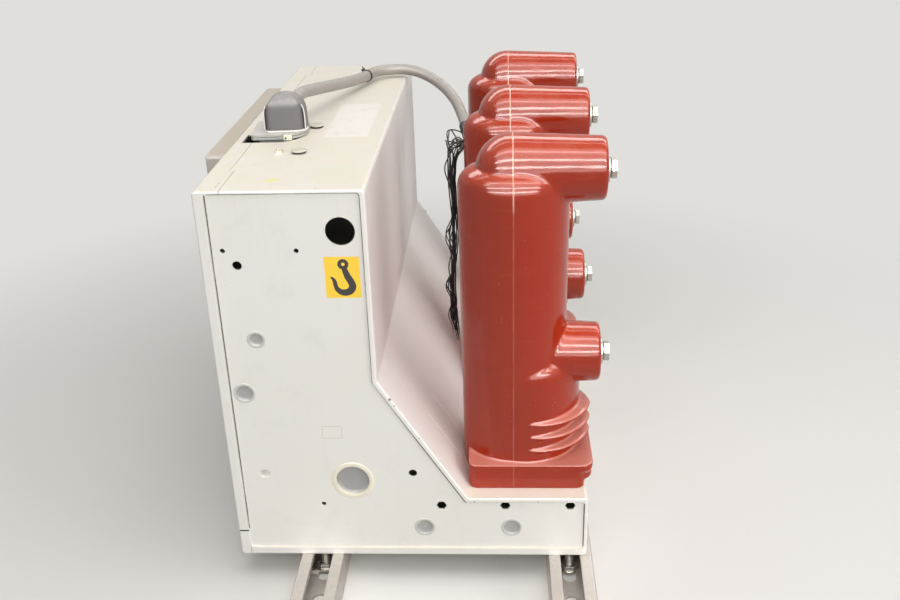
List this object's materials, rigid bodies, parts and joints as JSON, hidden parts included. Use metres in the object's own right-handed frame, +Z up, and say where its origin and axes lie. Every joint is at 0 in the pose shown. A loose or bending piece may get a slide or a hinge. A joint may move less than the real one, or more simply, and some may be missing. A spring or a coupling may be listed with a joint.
{
  "type": "gas insulated breaker",
  "caption": "Medium-voltage gas insulated circuit breaker: sheet steel drive cabinet, upright resin poles with bolt-on terminals, and a control hose, on two slotted rails.",
  "frame": {"origin": "on the floor under the middle of the breaker, halfway between the buttons on the front and the heads of the terminal bolts", "axes": "+X runs across the poles to the right side seen from the front, +Y runs from the operating front to the terminals, +Z is up"},
  "size_m": [0.74, 0.43, 0.5025],
  "materials": {
    "cream_paint": "satin powder coat",
    "zinc_steel": "galvanised",
    "grey_plastic": "moulded",
    "grey_paint": "satin powder coat",
    "green_button": "moulded",
    "red_button": "moulded",
    "clear_pane": "clear pane",
    "beige_plastic": "moulded",
    "hose_plastic": "smooth hose",
    "black_rubber": "matt",
    "brown_resin": "cast epoxy resin",
    "plated_copper": "silver plated contact face",
    "bolt_steel": "zinc plated"
  },
  "bodies": {
    "root": {"front_rail": "zinc_steel", "rear_rail": "zinc_steel", "bottom_pan": "cream_paint", "front_panel": "cream_paint", "top_panel": "cream_paint", "rear_panel": "cream_paint", "right_side_panel": "cream_paint", "left_side_panel": "cream_paint", "mechanism_cover": "grey_paint", "on_button": "green_button", "off_button": "red_button", "position_window": "clear_pane", "spring_window": "clear_pane", "counter_window": "clear_pane", "charging_socket": "bolt_steel", "right_hole_plugs": "beige_plastic", "left_hole_plugs": "beige_plastic", "right_access_ring": "beige_plastic", "right_access_cap": "grey_plastic", "left_access_ring": "beige_plastic", "left_access_cap": "grey_plastic", "top_plugs": "beige_plastic", "square_fitting": "bolt_steel", "connector_base": "grey_plastic", "connector_hood": "grey_plastic", "hood_latch": "bolt_steel", "control_hose": "hose_plastic", "hose_sleeve": "black_rubber", "hose_tie": "black_rubber", "wire_bundle": "black_rubber", "right_pole": "brown_resin", "middle_pole": "brown_resin", "left_pole": "brown_resin", "right_upper_terminal": "plated_copper", "middle_upper_terminal": "plated_copper", "left_upper_terminal": "plated_copper", "right_lower_terminal": "plated_copper", "middle_lower_terminal": "plated_copper", "left_lower_terminal": "plated_copper", "right_terminal_bolts": "bolt_steel", "middle_terminal_bolts": "bolt_steel", "left_terminal_bolts": "bolt_steel"}
  },
  "joints": []
}
